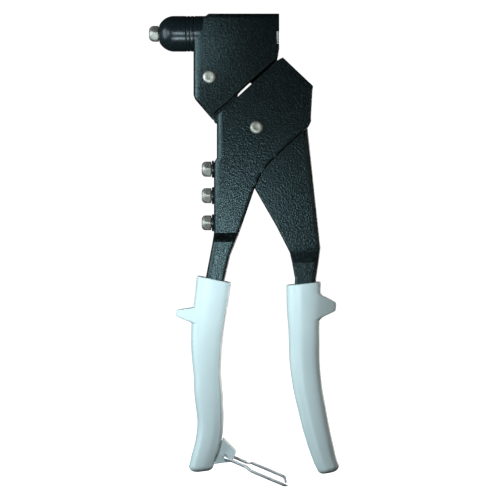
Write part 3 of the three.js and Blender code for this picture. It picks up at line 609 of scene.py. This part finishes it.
def make_barrel():
    """The domed nose barrel: a smooth enamelled cup with three fine grooves near its root."""
    low, high = box_mm("nose_barrel")
    front, rear = low[0], high[0]
    outside = (high[2] - low[2]) / 2
    shoulder, root = front + DOME_LENGTH, rear - ROOT_STEP
    dome = []
    for t in np.linspace(0, 1, 22):
        angle = t * math.pi / 2
        dome.append((
            shoulder - (shoulder - front) * math.cos(angle),
            MOUTH_RADIUS + (outside - MOUTH_RADIUS) * math.sin(angle) ** DOME_BULGE,
        ))
    grooves = []
    for x in GROOVES_AT:
        grooves += [(x - GROOVE_HALF_TOP, outside, 0.12),
                    (x - GROOVE_HALF_FLOOR, outside - GROOVE_DEPTH, 0.1),
                    (x + GROOVE_HALF_FLOOR, outside - GROOVE_DEPTH, 0.1),
                    (x + GROOVE_HALF_TOP, outside, 0.12)]
    profile = filleted([
        (front + 0.5, HOLE_RADIUS),
        (front, HOLE_RADIUS + 0.3, 0.2),
        *dome,
        *grooves,
        (root, outside, 0.3),
        (root, SPIGOT_RADIUS, 0.2),
        (rear, SPIGOT_RADIUS, 0.4),
        (rear, CAVITY_RADIUS, 0.3),
        (CAVITY_FLOOR, CAVITY_RADIUS, 0.4),
        (CAVITY_FLOOR, HOLE_RADIUS, 0.2),
        (front + 0.5, HOLE_RADIUS),
    ])
    mesh = turned("nose_barrel_fine", profile[:-1], 96, "x", closed=True)
    piece("nose_barrel_fine", mesh, "head", "gloss_paint", "nose_barrel")


HEXAGON_LENGTH = 5.4
HEXAGON_SOFTNESS = 0.12  # how much is taken off the hexagon's corners
THREAD_STEP = 0.5
THREAD_RADII = (2.9, 2.72)
NOSE_POINTS = 72  # points in each ring


def make_nosepiece(name, node, body, bore):
    """Hexagonal nosepiece: a chamfered hexagon with a domed mouth, and a threaded shank."""
    low, high = box_mm(node)
    front, end = low[0], high[0]
    centre_z = (low[2] + high[2]) / 2
    hexagon_end = front + HEXAGON_LENGTH
    corner = HALF_FLATS / math.cos(math.pi / 6)

    def hexagon(angle):
        """Distance from the axis to a softly cornered hexagon with flats at the top and bottom."""
        turn = angle % (math.pi / 3) - math.pi / 6
        return min(HALF_FLATS / math.cos(turn), corner - HEXAGON_SOFTNESS)

    # Each ring's x and radius, and whether the hexagon cuts it.
    stations = [
        (front + 1.2, bore, False), (front + 0.35, bore + 0.05, False), (front + 0.06, bore + 0.3, False),
        (front, bore + 0.6, False), (front, 2.5, False), (front + 0.08, 2.8, False),
        (front + 0.3, 3.2, False), (front + 0.7, 3.65, False), (front + 1.2, 4.05, True),
        (front + 1.8, 4.4, True), (front + 2.6, 4.62, True), (front + 3.4, 4.75, True),
        (hexagon_end - 0.7, 4.8, True), (hexagon_end - 0.35, 4.65, True), (hexagon_end - 0.05, 4.1, True),
        (hexagon_end, 3.6, False), (hexagon_end + 0.02, 2.75, False),
    ]
    for i, x in enumerate(np.arange(hexagon_end + THREAD_STEP, end - 1.2, THREAD_STEP)):
        stations.append((x, THREAD_RADII[i % 2], False))
    stations += [(end - 0.9, 2.6, False), (end - 0.1, bore + 0.75, False), (end, bore + 0.55, False),
                 (end - 0.1, bore + 0.1, False), (end - 0.6, bore, False)]
    points = []
    for x, radius, hexed in stations:
        for i in range(NOSE_POINTS):
            angle = 2 * math.pi * i / NOSE_POINTS
            reach = min(radius, hexagon(angle)) if hexed else radius
            points.append((x, reach * math.cos(angle), centre_z + reach * math.sin(angle)))
    # The last ring joins the first one inside the bore.
    faces = grid_faces(len(stations), NOSE_POINTS, close_ends=False)
    last = (len(stations) - 1) * NOSE_POINTS
    for i in range(NOSE_POINTS):
        k = (i + 1) % NOSE_POINTS
        faces.append((last + i, last + k, k, i))
    mesh = mesh_of(name, points, faces)
    mesh.set_sharp_from_angle(angle=math.radians(38))
    piece(name, mesh, body, "nickel_plate", node)


def make_pin(name, node, body, joint):
    """Pivot pin on a joint's axis: a chamfered, slightly dished head in front and a clip groove behind."""
    low, high = box_mm(node)
    centre = pivot_of(joint)
    head, end = low[1], high[1]
    radius = (high[0] - low[0]) / 2
    shaft, groove = 2.3, 1.6
    # Each corner's y, radius and fillet.
    profile = filleted([
        (head + 0.24, 0.0),
        (head + 0.22, 0.8, 0.3),
        (head + 0.02, 1.8, 0.4),
        (head + 0.06, 2.6, 0.4),
        (head + 0.55, 3.4, 0.35),
        (head + 1.2, radius, 0.3),
        (head + 1.7, radius, 0.12),
        (head + 1.7, shaft, 0.1),
        (end - 1.6, shaft, 0.1),
        (end - 1.6, groove, 0.1),
        (end - 0.8, groove, 0.1),
        (end - 0.8, shaft, 0.1),
        (end - 0.25, shaft, 0.2),
        (end, 1.9, 0.2),
        (end, 0.0),
    ], 5)
    mesh = turned(name, profile, 64, "y", (centre[0], 0, centre[2]))
    piece(name, mesh, body, "nickel_plate", node)


TURN_STEPS = 26  # points along each turn of a spring
CLOSE_ENDS = 0.6  # how much closer a spring's end turns lie: 0 is an even spring


def make_spring(name, node, body, turns, wire, joint=None):
    """A coil spring round the mandrel axis, with close end turns, and a mesh of its own if a joint is
    given.
    """
    low, high = box_mm(node)
    mean = (high[2] - low[2]) / 2 - wire
    steps = turns * TURN_STEPS
    path = []
    for i in range(steps + 1):
        t = i / steps
        eased = t - math.sin(2 * math.pi * t) / (2 * math.pi) * CLOSE_ENDS
        angle = 2 * math.pi * turns * t
        x = low[0] + wire + eased * (high[0] - low[0] - 2 * wire)
        path.append((x, mean * math.cos(angle), mean * math.sin(angle)))
    made = piece(name, swept(name, path, wire, 12), body, "spring_steel", node)
    if joint:
        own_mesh(made)


# ---------------------------------------------------------------- grips

# Each grip's centre line is a list of (x, z) from its open top to its lower end. At even steps along
# it: its half width in the XZ plane, how far the crease lies inside its inner silhouette and behind
# its front, and the lean of its sections in radians. Outer is the sign of x on its outer side. The
# horn is the finger guard: its top and low are the z where two sloping planes leave the skin, half
# is its half width along Y, and step is the spacing of the rings there.
HANDLE_GRIP = {
    "path": [(36.85, -139), (35.5, -149.5), (33.4, -164.7), (32.6, -180.1), (33.4, -199.5),
             (34.8, -218.7), (33.6, -230.3), (31.1, -239), (29.6, -244)],
    "across": [9.8, 9.5, 9.2, 8.5, 7.7, 8.0, 7.4, 7.4, 7.1],
    "crease": [0.7, 0.8, 0.9, 1.1, 1.3, 1.7, 1.9, 1.6, 0.9],
    "drop": [1.2, 1.2, 1.1, 1.0, 1.0, 1.0, 1.1, 1.3, 1.5],
    "lean": [-0.08, -0.02, 0, 0, 0, 0, 0.04, 0.2, 0.4],
    "outer": -1,
    "horn": {"top": -154.9, "top_slope": 5.8, "low": -163.4, "low_slope": 2.5, "height": 9.2,
             "half": 9.3, "side_slope": 1.9, "fillet": 1.3, "step": 0.16},
}
LEVER_GRIP = {
    "path": [(87.65, -141.4), (87.5, -156.9), (87.9, -172.4), (88.2, -186), (89.7, -199.6),
             (92, -211.2), (95, -225), (98.95, -239.2), (101.15, -244.8)],
    "across": [9.8, 9.4, 8.7, 8.6, 8.4, 8.1, 7.7, 7.2, 6.4],
    "crease": [1.6, 1.7, 1.8, 2.3, 2.6, 2.5, 2.1, 1.4, 0.6],
    "drop": [2.5, 2.5, 2.4, 2.3, 2.1, 1.9, 1.9, 2.7, 2.4],
    "lean": [0.11, 0.04, 0, 0, 0, 0, 0, -0.08, -0.18],
    "outer": 1,
    "horn": {"top": -147.4, "top_slope": 1.9, "low": -160.9, "low_slope": 2.1, "height": 8.85,
             "half": 9.6, "side_slope": 1.6, "fillet": 3.0, "step": 0.24},
}
GRIP_DEEP = [10.4, 10.4, 10.2, 10, 9.9, 9.8, 9.5, 9.1, 8.4]  # both grips' half depth along Y
CREASE_AT = 9  # index of the front crease in a grip's section
LINE_STEPS = 60  # points in each span of a grip's centre line
RING_STEP = 1.15  # spacing of the rings away from the horn
SLOPE_REACH = 0.8  # the centre line's direction is taken over this far on both sides
HORN_START = 0.55  # share of the half width from which the horn rises
HORN_ROUNDINGS = (1.4, 1.6, 1.5)  # between its two slopes, at its sides and at its flat top
HORN_MARGINS = (4.5, 3.5)  # how far below and above it the rings lie closer together
HOLLOW_DEPTH = 78.0
HOLLOW_RINGS = 16
HOLLOW_HALF = 7.8  # the hollow's half width along Y
HOLLOW_ROOM = 0.3  # between the channel and the hollow
HOLLOW_POWER = 2 / 7  # the hollow's section is a superellipse, close to a rectangle
# Inset and distance below the mouth of the rings that roll over the rim, from the inside out.
RIM_RINGS = ((1.3, 0.0), (0.7, -0.05), (0.25, 0.08))
# Distance past the centre line's end and share of the section, for the rings of the round end.
END_RINGS = ((0.7, 0.985), (1.35, 0.95), (1.95, 0.9), (2.5, 0.83), (2.95, 0.74), (3.3, 0.62),
             (3.5, 0.46), (3.6, 0.26), (3.62, 0.08))


def grip_section(half, deep, crease, drop):
    """Closed section of a grip as (u, v): u grows towards the outer side, v is along Y.

    The front rises from the inner crease to a ridge and falls gently to a round outer corner.
    The inner side swells between the front and the back crease."""
    inner = [(-half, 0), (-half, -deep * 0.4), (-half + crease * 0.35, -deep + drop + 1.5),
             (-half + crease, -deep + drop)]
    outer = [(-half + crease, -deep + drop), (-half + crease + 2.2, -deep + drop * 0.46),
             (-half * 0.22, -deep + 0.12), (half * 0.18, -deep), (half * 0.5, -deep + 0.25),
             (half - 2.3, -deep + 1.0), (half - 0.75, -deep + 2.7), (half, -deep + 5.4),
             (half, -deep * 0.22), (half, 0)]
    front = np.vstack([
        smooth_path([(u, v, 0) for u, v in inner], CREASE_AT // 3)[:-1],
        smooth_path([(u, v, 0) for u, v in outer], 5),
    ])[:, :2]
    return np.vstack([front, front[1:-1][::-1] * (1, -1)])


def soft_low(first, second, size):
    """The lower of two values, with a round transition of a given size."""
    h = np.clip(0.5 + 0.5 * (second - first) / size, 0, 1)
    return second * (1 - h) + first * h - size * h * (1 - h)


def horn_height(horn, z, v):
    """How far the finger guard stands out of the grip's outer side at a height and depth."""
    above = (horn["top"] - z) * horn["top_slope"]
    below = (z - horn["low"]) * horn["low_slope"]
    beside = (horn["half"] - np.abs(v)) * horn["side_slope"]
    ridge, sides, top = HORN_ROUNDINGS
    height = soft_low(soft_low(above, below, ridge), beside, sides)
    height = soft_low(height, np.full_like(height, horn["height"]), top)
    return -soft_low(-height, np.zeros_like(height), horn["fillet"])


def slice_x(node, height):
    """Lowest and highest x of a CAD node where a level plane cuts it, in millimetres."""
    mesh = frame["nodes"][node].data
    points = np.empty(len(mesh.vertices) * 3)
    mesh.vertices.foreach_get("co", points)
    points = points.reshape(-1, 3) / MM
    ends = np.array([e.vertices[:] for e in mesh.edges])
    a, b = points[ends[:, 0]], points[ends[:, 1]]
    crossing = (a[:, 2] - height) * (b[:, 2] - height) < 0
    a, b = a[crossing], b[crossing]
    x = a[:, 0] + (b[:, 0] - a[:, 0]) * (height - a[:, 2]) / (b[:, 2] - a[:, 2])
    return x.min(), x.max()


def ring_places(total, centre_line, along, horn):
    """How far along the centre line each ring of the skin lies, with closer rings at the horn."""
    places = [0.0, 0.25, 0.6, 1.0]
    while places[-1] < total - 1.2:
        z = np.interp(places[-1], along, centre_line[:, 2])
        near = horn["low"] - HORN_MARGINS[0] < z < horn["top"] + HORN_MARGINS[1]
        places.append(places[-1] + (horn["step"] if near else RING_STEP))
    return [*places, total]


def mark_creases(mesh, count, first, last):
    """Makes the front and the back crease sharp between two rings of the skin."""
    work = bmesh.new()
    work.from_mesh(mesh)
    work.verts.ensure_lookup_table()
    for i in range(first, last):
        for j in (CREASE_AT, count - CREASE_AT):
            here, there = work.verts[i * count + j], work.verts[(i + 1) * count + j]
            for edge in here.link_edges:
                if edge.other_vert(here) == there:
                    edge.smooth = False
    work.to_mesh(mesh)
    work.free()


def make_grip(name, node, channel, body, shape):
    """A moulded sleeve: skin, rolled open top, hollow for the channel, finger guard and round end."""
    centre_line = smooth_path([(x, 0, z) for x, z in shape["path"]], LINE_STEPS)
    steps = np.linalg.norm(np.diff(centre_line, axis=0), axis=1)
    along = np.concatenate([[0], np.cumsum(steps)])
    total = along[-1]
    knots = np.linspace(0, total, len(shape["across"]))
    outer = shape["outer"]
    horn = shape["horn"]
    typical = grip_section(9, 10, 1, 2)
    count = len(typical)
    angles = np.array([math.atan2(v / 10, u / 9) for u, v in typical])
    cosines, sines = np.cos(angles), np.sin(angles)

    def line_at(s):
        return np.array([np.interp(s, along, centre_line[:, k]) for k in range(3)])

    def frame_at(s):
        """The point, the direction along the grip and the direction to its outer side."""
        step = line_at(min(s + SLOPE_REACH, total)) - line_at(max(s - SLOPE_REACH, 0))
        turn = math.atan2(step[2], step[0]) + np.interp(s, knots, shape["lean"])
        tangent = np.array((math.cos(turn), 0, math.sin(turn)))
        side = np.cross(tangent, (0, 1, 0))
        return line_at(s), tangent, side * (1 if side[0] * outer > 0 else -1)

    def skin(s, inset=0.0, ahead=0.0, share=1.0):
        """A ring of the skin, inset, moved ahead along the grip, or reduced to a share."""
        point, tangent, side = frame_at(s)
        half = np.interp(s, knots, shape["across"]) - inset
        deep = np.interp(s, knots, GRIP_DEEP) - inset
        crease, drop = (np.interp(s, knots, shape[key]) for key in ("crease", "drop"))
        section = grip_section(half, deep, crease, drop) * share
        depth = section[:, 1:] * np.array((0, 1.0, 0))
        points = point + tangent * ahead + section[:, :1] * side + depth
        on_outer_side = section[:, 0] > half * share * HORN_START
        points[:, 0] += outer * horn_height(horn, points[:, 2], points[:, 1]) * on_outer_side
        return points

    def hollow(s, grow):
        """A ring of the hollow round the channel, grown by some distance."""
        point, _, side = frame_at(s)
        left, right = slice_x(channel, point[2])
        half_x, half_y = (right - left) / 2 + HOLLOW_ROOM + grow, HOLLOW_HALF + grow
        u = half_x * np.sign(cosines) * np.abs(cosines) ** HOLLOW_POWER * outer
        v = half_y * np.sign(sines) * np.abs(sines) ** HOLLOW_POWER
        return np.column_stack([(left + right) / 2 + u, v, point[2] + u * side[2] / side[0]])

    # From the hollow's closed bottom up to the mouth, over the rim, and down the skin to the round end.
    rings = [hollow(s, 0.0) for s in np.linspace(HOLLOW_DEPTH, 1.6, HOLLOW_RINGS)]
    rings += [hollow(0.55, 0.25), hollow(0.12, 0.8)]
    rings += [skin(0.0, inset, ahead) for inset, ahead in RIM_RINGS]
    first_skin = len(rings)
    for s in ring_places(total, centre_line, along, horn)[1:]:
        rings.append(skin(s, 0.0 if s > 0.3 else 0.06))
    rings += [skin(total, 0.0, ahead, share) for ahead, share in END_RINGS]
    mesh = mesh_of(name, np.vstack(rings), grid_faces(len(rings), count))
    mark_creases(mesh, count, first_skin + 2, len(rings) - 4)
    piece(name, mesh, body, "grip_vinyl", node)


# ---------------------------------------------------------------- latch


def make_bail():
    """Spring-wire bail: narrow arms hooked into the bracket, splayed to pass the other grip."""
    hinge = pivot_of("bail_swing")
    tilt = math.radians(-23)
    wire = 0.92
    wide = box_mm("latch_bail")[1][1] - 1.02
    narrow, length = 8.0, 37.5
    # One arm as (distance from the hinge, y), from the bracket to the far end.
    arm = [(0, 1.2), (0, narrow - 1.6), (0.6, narrow - 0.3), (2, narrow), (11.5, narrow),
           (13, narrow + 0.6), (15.6, wide - 0.6), (17, wide), (33, wide), (36, wide - 0.9),
           (length - 0.4, wide - 3.4), (length, wide - 6)]
    both = [(u, -v) for u, v in arm] + arm[::-1]
    points = [(hinge[0] + u * math.cos(tilt), v, hinge[2] + u * math.sin(tilt)) for u, v in both]
    mesh = swept("latch_bail_fine", smooth_path(points, 7), wire, 16)
    piece("latch_bail_fine", mesh, "bail", "bright_wire", "latch_bail")


# ---------------------------------------------------------------- making

make_camera()
make_world()
make_floor()
for name, numbers in LIGHTS.items():
    area_light(name, *numbers)
bpy.context.scene.view_settings.view_transform = "Standard"

# The painted channels, each with the direction and the width of its wide rounding.
for node, body, towards, reach in (
    ("head_frame", "head", (0.65, 0, -0.76), 1.3),
    ("handle_frame", "handle", (0.82, 0, -0.57), 1.65),
    ("lever_frame", "lever", (1, 0, -0.1), 1.5),
):
    refined(node, body, "wrinkle_paint", 0.45, 3, (towards, reach))
# Everything else whose CAD shape is kept, with the width of its rounded edges.
for node, body, slot, width in (
    ("barrel_mount_plate", "head", "zinc_plate", 0.22),
    ("rear_end_plate", "head", "zinc_plate", 0.22),
    ("front_pivot_clip", "head", "spring_steel", 0.1),
    ("main_pivot_clip", "handle", "spring_steel", 0.1),
    ("front_pivot_bush", "lever", "zinc_plate", 0.15),
    ("main_pivot_bush", "lever", "zinc_plate", 0.15),
    ("fork_pin_front", "lever", "machined_steel", 0.15),
    ("fork_pin_rear", "lever", "machined_steel", 0.15),
    ("lock_nut", "puller", "zinc_plate", 0.15),
    ("jaw_case", "puller", "machined_steel", 0.15),
    ("pull_tube", "puller", "machined_steel", 0.15),
    ("jaw_pusher", "pusher", "machined_steel", 0.12),
    ("jaw_upper", "upper_jaw", "machined_steel", 0.1),
    ("jaw_lower", "lower_jaw", "machined_steel", 0.1),
    ("nosepiece_boss_1", "handle", "gloss_paint", 0.2),
    ("nosepiece_boss_2", "handle", "gloss_paint", 0.2),
    ("nosepiece_boss_3", "handle", "gloss_paint", 0.2),
    ("latch_bracket", "handle", "grip_vinyl", 0.4),
):
    refined(node, body, slot, width)

make_barrel()
make_nosepiece("nosepiece_fine", "nosepiece", "head", 1.1)
for size, bore in (("small", 1.3), ("medium", 1.7), ("large", 2.1)):
    make_nosepiece(f"spare_nosepiece_{size}_fine", f"spare_nosepiece_{size}", "handle", bore)
make_pin("front_pivot_pin_fine", "front_pivot_pin", "head", "lever_pivot")
make_pin("main_pivot_pin_fine", "main_pivot_pin", "handle", "handle_pivot")
make_spring("return_spring_fine", "return_spring", "head", 8, 0.65, "puller_slide")
make_spring("jaw_spring_fine", "jaw_spring", "puller", 4, 0.45)
make_grip("handle_grip_fine", "handle_grip", "handle_frame", "handle", HANDLE_GRIP)
make_grip("lever_grip_fine", "lever_grip", "lever_frame", "lever", LEVER_GRIP)
make_bail()
